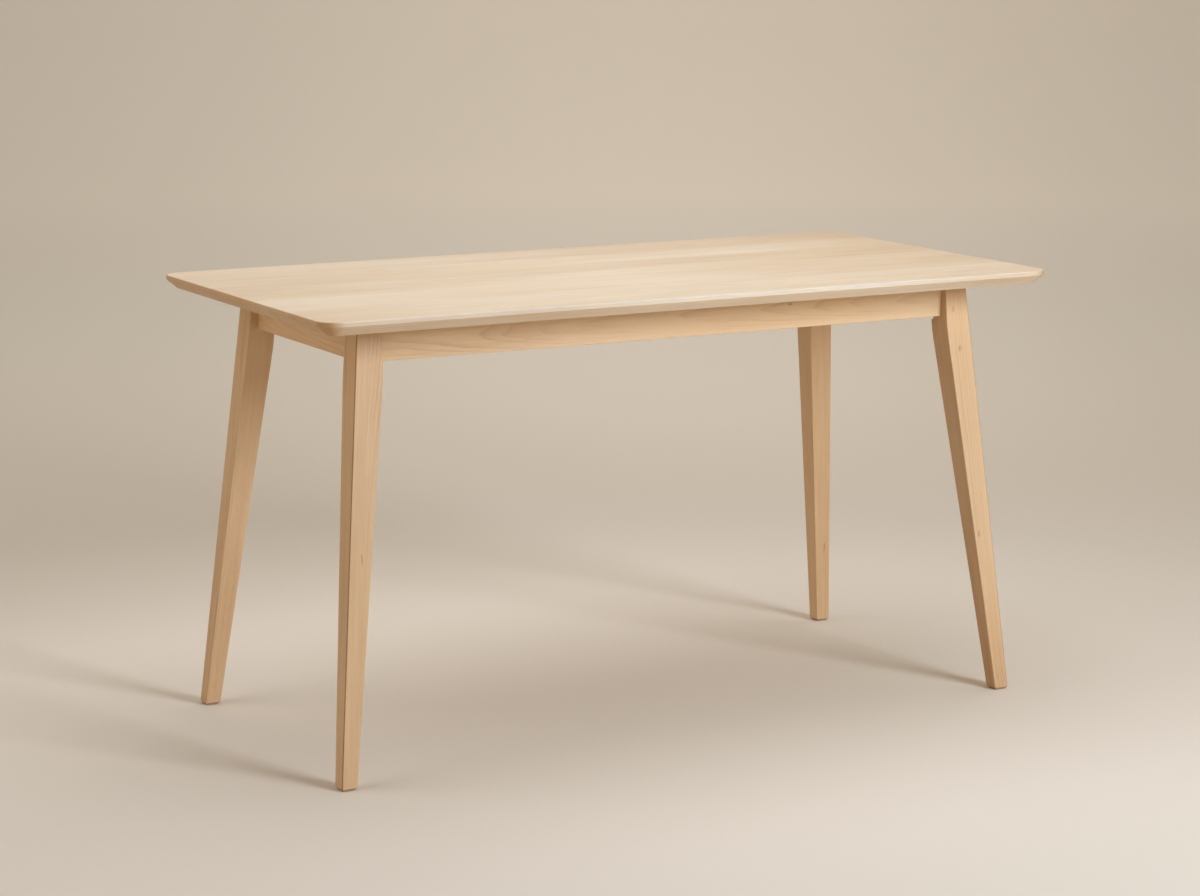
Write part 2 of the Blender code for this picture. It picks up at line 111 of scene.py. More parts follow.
# Hardware
BOLT_RADIUS = 0.004
BOLT_HOLE_RADIUS = 0.0045
BOLT_PITCH = 0.00125
BOLT_THREAD = 0.0006  # depth
BOLT_DEPTH_IN_LEG = 0.025
BOLT_WOOD_PITCH = 0.003
BOLT_WOOD_THREAD = 0.0009
BOLT_TIP = 0.007
BOLT_STANDS_PROUD = 0.006
WASHER_RADIUS = 0.010
WASHER_THICKNESS = 0.0016
NUT_ACROSS_FLATS = 0.013
NUT_THICKNESS = 0.0065
SCREW_RADIUS = 0.002
SCREW_HEAD_RADIUS = 0.004
SCREW_HEAD_HEIGHT = 0.0022
SCREW_TIP = 0.004
SCREW_PITCH = 0.0018
SCREW_THREAD = 0.0006
SCREW_HOLE_RADIUS = 0.0024
# The cross recess at its bottom and its mouth: half length, half width, and height from the head's top
RECESS = ((0.00095, 0.00045, -0.0014), (0.0019, 0.000585, 0.0002))
COUNTERBORE_RADIUS = 0.005
BLOCK_SCREW_LENGTH = 0.024
CLIP_SCREW_LENGTH = 0.014
CLIP_STEEL = 0.0015
CLIP_RISER = 0.0025
CLIP_DROP = 0.010
CLIP_REACH = 0.024
CLIP_TAB = 0.007
CLIP_HOLE = 0.014
CLIP_BEND = 0.0008  # inside radius
SLOT_CLEARANCE = 0.0005
HOLE_SPARE = 0.001  # how much deeper than its bolt or screw a blind hole is
THREAD_STEPS = 8  # rings per turn of a thread
ROUND_SIDES = 32

CORNERS = (  # name, and its signs of X and Y
    ("front_left", -1, -1),
    ("front_right", 1, -1),
    ("rear_left", -1, 1),
    ("rear_right", 1, 1),
)
UP = Vector((0, 0, 1))
TINY = 1e-5


# ---- helpers


def curve(value, stations, values):
    """A line through a few points, held at its ends."""
    return float(np.interp(value, stations, values))


def new_object(name, data):
    made = bpy.data.objects.new(name, data)
    bpy.context.scene.collection.objects.link(made)
    return made


def object_from(name, bm):
    bmesh.ops.recalc_face_normals(bm, faces=bm.faces)
    mesh = bpy.data.meshes.new(name)
    bm.to_mesh(mesh)
    bm.free()
    return new_object(name, mesh)


def loft(rings, closed=False):
    """A skin through rings of as many points each, capped at both ends or closed on itself."""
    bm = bmesh.new()
    loops = [[bm.verts.new(point) for point in ring] for ring in rings]
    for lower, upper in zip(loops, loops[1:] + loops[:1] if closed else loops[1:]):
        for i in range(len(lower)):
            j = (i + 1) % len(lower)
            bm.faces.new((lower[i], lower[j], upper[j], upper[i]))
    if not closed:
        bm.faces.new(loops[0][::-1])
        bm.faces.new(loops[-1])
    return bm


def prism(outline, direction):
    bottom = [Vector(point) for point in outline]
    return loft([bottom, [point + Vector(direction) for point in bottom]])


def box(low, high):
    (x0, y0, z0), (x1, y1, z1) = low, high
    return prism(((x0, y0, z0), (x1, y0, z0), (x1, y1, z0), (x0, y1, z0)), (0, 0, z1 - z0))


def block_between(*spans):
    """A block between two values along each of X, Y and Z, which come in any order."""
    low, high = zip(*(sorted(span) for span in spans))
    return object_from("block", box(low, high))


def circle(radius, height, sides=ROUND_SIDES):
    angles = [math.tau * i / sides for i in range(sides)]
    return [(radius * math.cos(angle), radius * math.sin(angle), height) for angle in angles]


def fillet(points, radii, steps=5, closed=False):
    """A flat line through points with each corner rounded to its radius. A radius of 0 keeps the corner."""
    rounded = []
    count = len(points)
    for i, (point, radius) in enumerate(zip(points, radii)):
        here = Vector(point)
        if not radius or (not closed and i in (0, count - 1)):
            rounded.append(here)
            continue
        to_last = (Vector(points[i - 1]) - here).normalized()
        to_next = (Vector(points[(i + 1) % count]) - here).normalized()
        half = to_last.angle(to_next) / 2
        reach = radius / math.tan(half)
        centre = here + (to_last + to_next).normalized() * radius / math.sin(half)
        first = here + to_last * reach - centre
        last = here + to_next * reach - centre
        for step in range(steps + 1):
            rounded.append(centre + first.slerp(last, step / steps).normalized() * radius)
    return rounded


def turned(profile):
    """A body of revolution about Z through (radius, height) points."""
    return loft([circle(radius, height) for radius, height in profile])


def threaded(profile, threads):
    """A turned body with screw threads.

    A thread is (low, high, pitch, depth), and fades in and out over a turn.
    """
    heights = []
    for (_, low), (_, high) in zip(profile, profile[1:]):
        heights.append(low)
        for start, end, pitch, _ in threads:
            first, last = max(low, start), min(high, end)
            count = int((last - first) / pitch * THREAD_STEPS)
            heights += [first + (last - first) * i / count for i in range(1, count)]
    heights.append(profile[-1][1])
    rings = []
    known_heights = [height for _, height in profile]
    known_radii = [radius for radius, _ in profile]
    for index, height in enumerate(heights):
        flat_step = index + 1 < len(heights) and heights[index + 1] == height
        outer = [r for r, h in profile if h == height]
        base = outer[0 if flat_step else -1] if outer else curve(height, known_heights, known_radii)
        ring = []
        for i, (x, y, _) in enumerate(circle(1.0, 0.0)):
            cut = 0.0
            for start, end, pitch, depth in threads:
                if start < height < end:
                    phase = (height / pitch - i / ROUND_SIDES) % 1.0
                    fade = min(1.0, (height - start) / pitch, (end - height) / pitch)
                    cut += depth * fade * min(1.0, abs(2 * phase - 1) * 1.25)
            ring.append((x * (base - cut), y * (base - cut), height))
        rings.append(ring)
    return loft(rings)


def aim(piece, point, direction):
    """Puts a piece that was built about Z at a point, with its Z along a direction."""
    turn = Vector(direction).to_track_quat("Z", "Y").to_matrix().to_4x4()
    piece.matrix_world = Matrix.Translation(point) @ turn
    return piece


def drill(radius, low, high, point, direction):
    """A round cutter between two heights over a point, along a direction."""
    return aim(object_from("drill", loft([circle(radius, low), circle(radius, high)])), point, direction)


def settle(piece):
    """Turns a piece's modifiers and place into plain vertices in the table's frame."""
    bpy.context.view_layer.update()
    graph = bpy.context.evaluated_depsgraph_get()
    mesh = bpy.data.meshes.new_from_object(piece.evaluated_get(graph))
    mesh.transform(piece.matrix_world)
    piece.modifiers.clear()
    piece.data = mesh
    piece.matrix_world = Matrix.Identity(4)
    return piece


def combine(piece, others, operation="DIFFERENCE"):
    """Cuts the others from a piece, or joins them to it, and drops them."""
    for other in others:
        modifier = piece.modifiers.new(other.name, "BOOLEAN")
        modifier.operation = operation
        modifier.object = other
        modifier.solver = "EXACT"
    settle(piece)
    for other in others:
        bpy.data.objects.remove(other, do_unlink=True)
    return piece


def mesh_of(piece):
    """A piece's mesh, to make copies from. The piece itself goes."""
    mesh = piece.data
    bpy.data.objects.remove(piece, do_unlink=True)
    return mesh


def slice_by(bm, point, normal, keep_one_side=False):
    """Cuts a mesh by a plane, and on demand drops what is past it and closes the cut."""
    everything = bm.verts[:] + bm.edges[:] + bm.faces[:]
    made = bmesh.ops.bisect_plane(
        bm, geom=everything, plane_co=point, plane_no=normal, clear_outer=keep_one_side
    )
    if keep_one_side:
        rim = [item for item in made["geom_cut"] if isinstance(item, bmesh.types.BMEdge)]
        bmesh.ops.edgeloop_fill(bm, edges=rim)


def bevelled(piece, width, segments=3, angle_deg=40):
    modifier = piece.modifiers.new("Eased arrises", "BEVEL")
    modifier.width = width
    modifier.segments = segments
    modifier.limit_method = "ANGLE"
    modifier.angle_limit = math.radians(angle_deg)
    return settle(piece)


def smooth(piece, angle_deg):
    """Soft shading on the rounded arrises, with the flat faces kept flat."""
    piece.data.shade_smooth()
    piece.data.set_sharp_from_angle(angle=math.radians(angle_deg))
    modifier = piece.modifiers.new("Flat faces stay flat", "WEIGHTED_NORMAL")
    modifier.keep_sharp = True


def place(piece, node, slot, sharp_deg=35):
    """Hands a finished piece over to the frame in the place of a CAD node."""
    smooth(piece, sharp_deg)
    piece.data.materials.clear()
    piece.data.materials.append(MATERIALS[slot])
    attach(piece, "root")
    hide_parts(node)


# ---- materials


class Net:
    """A material's nodes. An input given as a socket is linked, and any other value is set."""

    def __init__(self, name):
        self.material = bpy.data.materials.new(name)
        self.material.use_nodes = True
        self.tree = self.material.node_tree
        self.shader = self.tree.nodes["Principled BSDF"]

    def put(self, socket, value):
        if isinstance(value, bpy.types.NodeSocket):
            self.tree.links.new(value, socket)
        else:
            socket.default_value = value

    def node(self, kind, inputs=None, output=0, **settings):
        node = self.tree.nodes.new(kind)
        for name, value in settings.items():
            setattr(node, name, value)
        for name, value in (inputs or {}).items():
            self.put(node.inputs[name], value)
        return node.outputs[output]

    def math(self, operation, *values, clamp=False):
        return self.node("ShaderNodeMath", dict(enumerate(values)), operation=operation, use_clamp=clamp)

    def vector(self, operation, *values, output=0):
        return self.node("ShaderNodeVectorMath", dict(enumerate(values)), output, operation=operation)

    def plus(self, total, value, amount, clamp=False):
        """A total with so much of a value added."""
        return self.math("ADD", total, self.math("MULTIPLY", value, amount), clamp=clamp)

    def attribute(self, name, output="Fac"):
        return self.node("ShaderNodeAttribute", output=output, attribute_name=name)

    def place(self):
        return self.node("ShaderNodeTexCoord", output="Object")

    def scaled(self, vector, factors, offset=(0, 0, 0)):
        return self.node("ShaderNodeMapping", {"Vector": vector, "Scale": factors, "Location": offset})

    def noise(self, vector, scales, detail, roughness=0.5, output="Fac", distortion=0.0, offset=(0, 0, 0)):
        inputs = {
            "Vector": self.scaled(vector, scales, offset),
            "Scale": 1.0,
            "Detail": detail,
            "Roughness": roughness,
            "Distortion": distortion,
        }
        return self.node("ShaderNodeTexNoise", inputs, output)

    def spread(self, value, low, high, to_low=0.0, to_high=1.0):
        """The value mapped softly from one range to another, and held at its ends."""
        inputs = {"Value": value, "From Min": low, "From Max": high, "To Min": to_low, "To Max": to_high}
        return self.node("ShaderNodeMapRange", inputs, interpolation_type="SMOOTHSTEP")

    def mix(self, factor, a, b, blend="MIX"):
        node = self.tree.nodes.new("ShaderNodeMix")
        node.data_type = "RGBA"
        node.blend_type = blend
        for socket, value in ((0, factor), (6, a), (7, b)):
            self.put(node.inputs[socket], value)
        return node.outputs[2]

    def surface(self, inputs):
        for name, value in inputs.items():
            self.put(self.shader.inputs[name], value)

    def bump(self, height, strength, distance):
        relief = {"Height": height, "Strength": strength, "Distance": distance}
        self.surface({"Normal": self.node("ShaderNodeBump", relief)})


# The grain's features, in cells per metre along the log, across it and through it
WANDER = (1.6, 9.0, 9.0)
CURL = (9.0, 60.0, 60.0)
RING_STRENGTH = (2.2, 22.0, 22.0)
FIBRES = (14.0, 620.0, 620.0)
STREAKS = (4.0, 120.0, 120.0)
PATCHES = (2.4, 11.0, 11.0)
PORES = (210.0, 3600.0, 3600.0)
FLECKS = (55.0, 420.0, 420.0)
PIN_KNOTS = (3.0, 13.0, 13.0)
KNOT_RAGS = (60.0, 500.0, 500.0)
WARMTH = (1.7, 8.0, 8.0)
RUBBING_AND_HIGHLIGHT = (30.0, 60.0, 60.0)
GLOSS = (6.0, 25.0, 25.0)
WANDER_BY = (0.0, 0.030, 0.030)  # metres
CURL_BY = (0.0, 0.0035, 0.0035)
# How much each feature darkens the wood, from its light colour at 0 to its dark one at 1
FIBRE_SHADE = 0.34
STREAK_SHADE = 0.46
PATCH_SHADE = 0.62
FLECK_SHADE = 0.14
KNOT_SHADE = 0.85
PORE_SHADE = 0.22
END_GRAIN_SHADE = 0.55
BOARDS_APART = 7.31  # how far off in the pattern each next board is taken
END_GRAIN_GAIN = 1.8  # over 1, so that slanting faces show full end grain too
BLUSH = (1.0, 0.955, 0.885, 1.0)  # what the warmer patches of a board let through
DARKEST_TINT = (0.89, 0.81, 0.69, 1.0)  # what the darkest-toned spots let through, such as the top's corners


def rgb(red, green, blue):
    """A colour given as display values from 0 to 255."""
    def linear(value):
        value /= 255
        return value / 12.92 if value <= 0.04045 else ((value + 0.055) / 1.055) ** 2.4

    return (linear(red), linear(green), linear(blue), 1.0)


def growth_rings(net, log, spot, spacing):
    """The late wood of each year, from 0 to 1, and where in its year a point was grown."""
    grown = log
    for scales, detail, reach in ((WANDER, 2.0, WANDER_BY), (CURL, 3.0, CURL_BY)):
        drift = net.vector("SUBTRACT", net.noise(spot, scales, detail, output="Color"), (0.5, 0.5, 0.5))
        grown = net.vector("ADD", grown, net.vector("MULTIPLY", drift, reach))
    radius = net.vector("LENGTH", net.vector("MULTIPLY", grown, (0.0, 1.0, 1.0)), output="Value")
    years = net.math("DIVIDE", radius, spacing)
    uneven = net.noise(net.node("ShaderNodeCombineXYZ", {"X": years}), (0.45, 1, 1), 2.0)
    season = net.math("FRACT", net.plus(years, uneven, 2.2))
    late = net.math("MULTIPLY", net.math("POWER", season, 3.0), net.spread(season, 1.0, 0.93))
    strength = net.noise(spot, RING_STRENGTH, 2.0)
    return net.math("MULTIPLY", late, net.spread(strength, 0.32, 0.68, 0.15, 1.0)), season


def knots_in(net, spot, knots):
    """Dark eyes drawn out along the grain: a few pin knots anywhere, and the given ones at their places."""
    eyes = net.node("ShaderNodeTexVoronoi", {"Vector": net.scaled(spot, PIN_KNOTS), "Scale": 1.0}).node
    rare = net.math("LESS_THAN", net.node("ShaderNodeSeparateColor", {0: eyes.outputs["Color"]}), 0.16)
    knot = net.math("MULTIPLY", net.spread(eyes.outputs["Distance"], 0.045, 0.012), rare)
    here = net.place()
    ragged = net.noise(spot, KNOT_RAGS, 2.0)
    for centre, half_sizes in knots:
        away = net.vector("DIVIDE", net.vector("SUBTRACT", here, centre), half_sizes)
        reach = net.vector("LENGTH", away, output="Value")
        reach = net.math("ADD", reach, net.spread(ragged, 0.2, 0.8, -0.4, 0.4))
        knot = net.math("MAXIMUM", knot, net.spread(reach, 1.2, 0.3, 0.0, 0.75))
    return knot


def make_wood(name, light, dark, rings, figure, roughness, coat, worn_and_highlit, knots=()):
    """Solid wood as a solid texture: growth rings round a pith, fibres, pores, flecks and knots.

    It is read in each board's own log coordinates, so faces, edges and end grain agree. rings is how far the
    rings are apart, and figure is how strongly they show. The arrises are drawn towards a given colour by a
    given
    share: real wear on the legs and aprons, and a painted highlight along the top's arrises. Each
    of the knots is a point of the table and the knot's half sizes along X, Y and Z.
    """
    net = Net(name)
    log = net.attribute("log", "Vector")
    board = net.attribute("board")
    tone = net.attribute("tone")
    end = net.attribute("end_grain")
    spot = net.vector("ADD", log, net.node("ShaderNodeCombineXYZ", {"X": board, "Y": board, "Z": board}))
    late, season = growth_rings(net, log, spot, rings)
    fibre, streak, patch = (
        net.math("SUBTRACT", net.noise(spot, scales, 3.0, detail_roughness), 0.5)
        for scales, detail_roughness in ((FIBRES, 0.6), (STREAKS, 0.55), (PATCHES, 0.5))
    )
    pore = net.spread(net.noise(spot, PORES, 1.0), 0.66, 0.74)
    pore = net.math("MULTIPLY", pore, net.spread(season, 0.75, 0.15, 0.35, 1.0))
    fleck = net.spread(net.noise(spot, FLECKS, 1.0), 0.69, 0.78)

    shade = net.math("MULTIPLY", late, figure)
    for value, amount in (
        (fibre, FIBRE_SHADE),
        (streak, STREAK_SHADE),
        (patch, PATCH_SHADE),
        (fleck, FLECK_SHADE),
        (knots_in(net, spot, knots), KNOT_SHADE),
    ):
        shade = net.plus(shade, value, amount)
    shade = net.plus(net.math("ADD", shade, tone), end, END_GRAIN_SHADE)
    colour = net.mix(net.plus(shade, pore, PORE_SHADE, clamp=True), light, dark)
    warmth = net.noise(spot, WARMTH, 2.0, offset=(3.1, 0.7, 1.9))
    colour = net.mix(net.spread(warmth, 0.35, 0.75), colour, BLUSH, "MULTIPLY")
    colour = net.mix(net.spread(tone, 0.6, 0.95), colour, DARKEST_TINT, "MULTIPLY")
    # Real wear on legs and aprons, and a painted grey-white highlight on the top's arrises, broken up by
    # noise
    rubbed_and_highlit = net.spread(net.noise(spot, RUBBING_AND_HIGHLIGHT, 3.0), 0.35, 0.65, 0.5, 1.0)
    rubbed_and_highlit = net.math("MULTIPLY", net.attribute("wear_and_highlight"), rubbed_and_highlit)
    wear_and_highlight_colour, wear_and_highlight_amount = worn_and_highlit
    colour = net.mix(net.math("MULTIPLY", rubbed_and_highlit, wear_and_highlight_amount), colour, wear_and_highlight_colour)

    rough = net.spread(net.noise(spot, GLOSS, 3.0), 0.3, 0.7, roughness - 0.04, roughness + 0.05)
    rough = net.plus(net.plus(rough, fibre, 0.12), end, 0.12)
    rough = net.plus(rough, rubbed_and_highlit, 0.15, clamp=True)
    relief = net.plus(net.math("MULTIPLY", fibre, 0.35), late, 0.25)
    relief = net.plus(relief, pore, -0.8)
    net.bump(relief, 0.35, 0.00012)
    net.surface({"Base Color": colour, "Roughness": rough, "IOR": 1.48})
    net.surface({"Coat Weight": coat, "Coat Roughness": 0.36})
    return net.material


def make_zinc():
    """Bright zinc plate: fine spangle, faint rolling marks and a dulled, yellowed bloom."""
    net = Net("zinc")
    spot = net.place()
    spangle = net.node("ShaderNodeTexVoronoi", {"Vector": spot, "Scale": 900.0}, "Color")
    spangle = net.node("ShaderNodeSeparateColor", {0: spangle})
    bloom = net.noise(spot, (140.0, 140.0, 140.0), 4.0)
    scratch = net.noise(spot, (300.0, 2600.0, 900.0), 2.0)
    bright = net.mix(net.math("MULTIPLY", spangle, 0.35), rgb(206, 208, 208), rgb(176, 180, 184))
    dull = net.mix(net.spread(bloom, 0.45, 0.75), bright, rgb(186, 178, 150))
    rough = net.plus(net.spread(bloom, 0.3, 0.8, 0.26, 0.48), spangle, 0.06)
    net.surface({"Base Color": dull, "Metallic": 1.0, "Roughness": rough})
    net.bump(net.plus(scratch, spangle, 0.5), 0.2, 0.00004)
    return net.material


def make_felt():
    """Dense needle felt: tangled fibres in browns."""
    net = Net("felt")
    spot = net.place()
    tangle = net.noise(spot, (1800.0, 1800.0, 3000.0), 5.0, 0.7, distortion=2.5)
    clump = net.noise(spot, (260.0, 260.0, 260.0), 3.0)
    colour = net.mix(net.spread(tangle, 0.35, 0.68), rgb(146, 116, 84), rgb(186, 156, 121))
    colour = net.mix(net.spread(clump, 0.3, 0.8, 0.0, 0.5), colour, rgb(150, 124, 96))
    net.surface({"Base Color": colour, "Roughness": 1.0, "Sheen Weight": 0.5, "Sheen Roughness": 0.6})
    net.bump(tangle, 0.9, 0.0003)
    return net.material


LEG_KNOTS = (
    ((0.564, -0.246, 0.610), (0.0035, 0.006, 0.008)),
    ((0.5515, -0.2395, 0.678), (0.002, 0.004, 0.006)),
    ((0.5925, -0.276, 0.281), (0.002, 0.004, 0.007)),
    ((0.6195, 0.256, 0.149), (0.0016, 0.006, 0.012)),
    ((-0.591, -0.2685, 0.362), (0.0012, 0.004, 0.014)),
)
APRON_KNOTS = (((0.226, -0.2235, 0.7065), (0.005, 0.006, 0.003)),)
# A painted highlight: the grey-white colour the top's arrises are drawn towards, and how far
TOP_ARRIS_HIGHLIGHT = (rgb(202, 198, 194), 0.7)
WORN_LEG = (rgb(228, 206, 178), 0.08)
WOODS = (  # name, light, dark, rings apart, figure, roughness, coat, wear and highlight, knots, as in make_wood
    ("top", rgb(233, 217, 195), rgb(194, 157, 115), 0.0042, 0.30, 0.42, 0.18, TOP_ARRIS_HIGHLIGHT),
    ("leg", rgb(213, 178, 138), rgb(162, 116, 71), 0.0034, 0.42, 0.46, 0.10, WORN_LEG, LEG_KNOTS),
    ("apron", rgb(228, 196, 157), rgb(171, 124, 82), 0.0040, 0.42, 0.46, 0.10, WORN_LEG, APRON_KNOTS),
    ("inner", rgb(218, 190, 152), rgb(158, 118, 80), 0.0038, 0.45, 0.62, 0.0, WORN_LEG),
)
MATERIALS = {f"{wood}_wood": make_wood(f"wood_{wood}", *looks) for wood, *looks in WOODS}
MATERIALS["zinc_steel"] = make_zinc()
MATERIALS["felt"] = make_felt()


def write(mesh, name, values, domain="POINT", kind="FLOAT"):
    field = "vector" if kind == "FLOAT_VECTOR" else "value"
    attribute = mesh.attributes.new(name, kind, domain)
    attribute.data.foreach_set(field, np.asarray(values, np.float32).ravel())


def grow(piece, number, along, across, pith, tilt, tone=0.0, worn_and_highlit=None):
    """Gives a board its place in its log.

    along and across are directions of the board. pith is where the log's heart lies from the board's middle,
    across and through, and tilt is how fast that line drifts off along the board. tone darkens the board, and
    may be a function of a point; it also carries painted shade on one leg's inner face and painted light on
    another's. The last argument tells at a point how worn an arris is, and on the top how strong its painted
    highlight is.
    """
    mesh = piece.data
    along = Vector(along).normalized()
    across = Vector(across)
    across = (across - along * across.dot(along)).normalized()
    basis = np.array([along, across, along.cross(across)])
    points = np.array([vert.co for vert in mesh.vertices], float)
    local = (points - (points.min(0) + points.max(0)) / 2) @ basis.T
    local[:, 1] += tilt[0] * local[:, 0] - pith[0]
    local[:, 2] += tilt[1] * local[:, 0] - pith[1]
    write(mesh, "log", local, kind="FLOAT_VECTOR")
    write(mesh, "board", np.full(len(points), number * BOARDS_APART))
    write(mesh, "tone", [tone(vert.co) if callable(tone) else tone for vert in mesh.vertices])
    # wear on arrises, and on the top a painted highlight along them
    write(mesh, "wear_and_highlight", [worn_and_highlit(vert.co) if worn_and_highlit else 0.0 for vert in mesh.vertices])
    ends = [min(1.0, END_GRAIN_GAIN * abs(face.normal.dot(along))) for face in mesh.polygons]
    write(mesh, "end_grain", ends, domain="FACE")


# ---- top

HALF_X = CAD_HIGH.x
HALF_Y = CAD_HIGH.y
TOP = CAD_HIGH.z
TONE_STATIONS = [HALF_X * share for share in (-1.0, -0.5, 0.0, 0.5, 1.0)]
# Each stave from the front: how much darker than the lightest wood it is at those stations, pith and tilt
STAVES = (
    ((0.34, 0.10, 0.02, 0.08, 0.26), (0.030, -0.070), (0.012, 0.022)),
    ((0.16, 0.06, 0.02, 0.24, 0.34), (-0.045, 0.085), (-0.008, 0.018)),
    ((0.34, 0.14, 0.06, 0.18, 0.34), (0.012, -0.055), (0.010, -0.020)),
    ((0.36, 0.20, 0.20, 0.26, 0.38), (-0.020, 0.060), (0.006, 0.026)),
    ((0.18, 0.22, 0.08, 0.10, 0.42), (0.035, -0.095), (-0.014, 0.016)),
    ((0.20, 0.18, 0.30, 0.36, 0.56), (-0.010, 0.075), (0.009, -0.024)),
)
# The long edges at the same stations: how much darker than the faces, and how strong their painted highlight
# is
EDGE_TONES = (0.24, 0.31, 0.06, 0.02, 0.06)
EDGE_HIGHLIGHT = (0.4, 0.8, 1.0, 0.9, 0.3)
END_TONE = 0.22
END_BEVEL_TONE = 0.10
# how strong the painted highlight along the ends' arrises is
END_HIGHLIGHT = 0.1
CORNER_TONE = 0.55  # how much darker the rounded corners, where the end grain slants, are drawn
CORNER_REACH = (0.06, 0.18, 0.52, 0.66)  # where round a corner that starts, is full, and ends: 0 on the end


def top_outline(inset, height):
    radius = CORNER_RADIUS - inset
    points = []
    for quarter, (sign_x, sign_y) in enumerate(((1, 1), (-1, 1), (-1, -1), (1, -1))):
        for step in range(CORNER_STEPS + 1):
            angle = math.pi / 2 * (quarter + step / CORNER_STEPS)
            x = sign_x * (HALF_X - CORNER_RADIUS) + radius * math.cos(angle)
            y = sign_y * (HALF_Y - CORNER_RADIUS) + radius * math.sin(angle)
            points.append((x, y, height))
    return points


def past_corner(point):
    """How far a point lies past the centre of its corner's rounding, along X and Y."""
    return abs(point.x) - (HALF_X - CORNER_RADIUS), abs(point.y) - (HALF_Y - CORNER_RADIUS)


def inset_at(point):
    """How far inside the top's plan outline a point lies."""
    x, y = past_corner(point)
    return CORNER_RADIUS - (math.hypot(max(x, 0), max(y, 0)) + min(max(x, y), 0))


def round_corner(point):
    """How far round its corner a point of the edge lies, from 0 on the table's end to 1 on its long edge."""
    x, y = past_corner(point)
    return math.atan2(max(y, 0.0), max(x, 0.0)) / (math.pi / 2)


def arris_highlight_at(point):
    """A painted highlight along the top's arrises: strongest on the long edges, and faint on the ends."""
    if inset_at(point) > EDGE_EASE + TINY or point.z < TOP - EDGE_EASE - TINY:
        return 0.0
    long_edge = curve(point.x, TONE_STATIONS, EDGE_HIGHLIGHT)
    return curve(round_corner(point), (CORNER_REACH[-1], 1.0), (END_HIGHLIGHT, long_edge))


def edge_darkness(point):
    """How much darker the edge and its bevel are than the face."""
    on_face = inset_at(point) > EDGE_EASE / 2 and point.z > TOP - EDGE_BAND
    if on_face or inset_at(point) > BEVEL_INSET + SUPPORT / 2:
        return 0.0
    share = round_corner(point)
    end = END_TONE if point.z > TOP - EDGE_BAND - BEVEL_EASE / 2 else END_BEVEL_TONE
    long_edge = curve(point.x, TONE_STATIONS, EDGE_TONES)
    along = curve(share, CORNER_REACH[-2:], (end, long_edge))
    return along + CORNER_TONE * curve(share, CORNER_REACH, (0, 1, 1, 0))


def make_staves():
    corners = (
        (BEVEL_INSET + SUPPORT, UNDERSIDE),
        (BEVEL_INSET, UNDERSIDE),
        (0.0, TOP - EDGE_BAND),
        (0.0, TOP),
        (EDGE_EASE + SUPPORT, TOP),
    )
    profile = fillet(corners, (0, BEVEL_EASE, BEVEL_EASE, EDGE_EASE, 0), steps=6)
    blank = loft([top_outline(inset, height) for inset, height in profile])
    for x in TONE_STATIONS[1:-1]:
        slice_by(blank, (x, 0, 0), (1, 0, 0))
    boxes = [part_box(f"top_stave_{i + 1}") for i in range(len(STAVES))]
    joints = [(lower[1].y + upper[0].y) / 2 for lower, upper in zip(boxes, boxes[1:])]
    for i, (tones, pith, tilt) in enumerate(STAVES):
        bm = blank.copy()
        for joint, side in ((i - 1, -1), (i, 1)):
            if 0 <= joint < len(joints):
                cut_at = joints[joint] - side * GLUE_LINE / 2
                slice_by(bm, (0, cut_at, 0), (0, side, 0), keep_one_side=True)
        stave = object_from(f"top_stave_{i + 1}_fine", bm)

        def tone(point, tones=tones):
            return curve(point.x, TONE_STATIONS, tones) + edge_darkness(point)

        grow(stave, 1 + i, (1, 0, 0), (0, 1, 0), pith, tilt, tone, arris_highlight_at)
        place(stave, f"top_stave_{i + 1}", "top_wood")
    blank.free()


# ---- legs

# Each leg in the order of CORNERS: pith, tilt, tones at the foot and at the top, and how much painted shade
# darkens the face turned to the table's middle (below 0 it is painted light)
LEGS = (
    ((0.055, 0.030), (0.010, -0.014), (0.10, 0.10), 0.0),
    ((-0.040, 0.060), (-0.012, 0.010), (0.18, -0.12), 0.24),
    ((0.070, -0.025), (0.014, 0.008), (0.16, 0.16), 0.0),
    ((-0.050, -0.050), (-0.009, -0.012), (0.12, 0.12), -0.12),
)
ARRIS_TONE = 0.95  # how much darker a leg's outer arris is drawn


def leg_faces(corner):
    """A leg's inner face at its top and outer face at its foot, along X and Y, and its Z range."""
    low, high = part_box(f"leg_{corner}")
    x_faces = sorted((abs(low.x), abs(high.x)))
    y_faces = sorted((abs(low.y), abs(high.y)))
    return x_faces, y_faces, low.z, high.z


def leg_span(faces, foot, height):
    """A leg's inner and outer face at a height, as distances from a middle plane.

    The outer face is one straight plane. The inner one is upright, curves round the knee and tapers straight.
    """
    inner_top, outer_foot = faces
    outer_top = inner_top + LEG_TOP_SECTION
    outer = outer_foot + (outer_top - outer_foot) * (height - foot) / (UNDERSIDE - foot)
    slope = (outer_foot - FOOT_SECTION - inner_top) / KNEE_HEIGHT
    below = KNEE_HEIGHT + KNEE_BLEND - height
    if below <= 0:
        inner = inner_top
    elif below < 2 * KNEE_BLEND:
        inner = inner_top + slope * below**2 / (4 * KNEE_BLEND)
    else:
        inner = inner_top + slope * (KNEE_HEIGHT - height)
    return inner, outer


def leg_ring(sign_x, sign_y, x_span, y_span, height, inset):
    """A leg's outline at a height, its arrises rounded and with a support on each side."""
    x0, x1 = x_span[0] + inset, x_span[1] - inset
    y0, y1 = y_span[0] + inset, y_span[1] - inset
    side = LEG_EASE + SUPPORT
    corners = ((x0, y0), (x1, y0), (x1, y1), (x0, y1))
    outline = []
    for i, corner in enumerate(corners):
        before = Vector(corners[i - 1])
        after = Vector(corners[(i + 1) % 4])
        here = Vector(corner)
        bend = fillet((before, here, after), (0, LEG_EASE, 0), steps=6)[1:-1]
        first = here + (before - here).normalized() * side
        last = here + (after - here).normalized() * side
        outline += [first, *bend, last]
    return [(sign_x * x, sign_y * y, height) for x, y in outline]


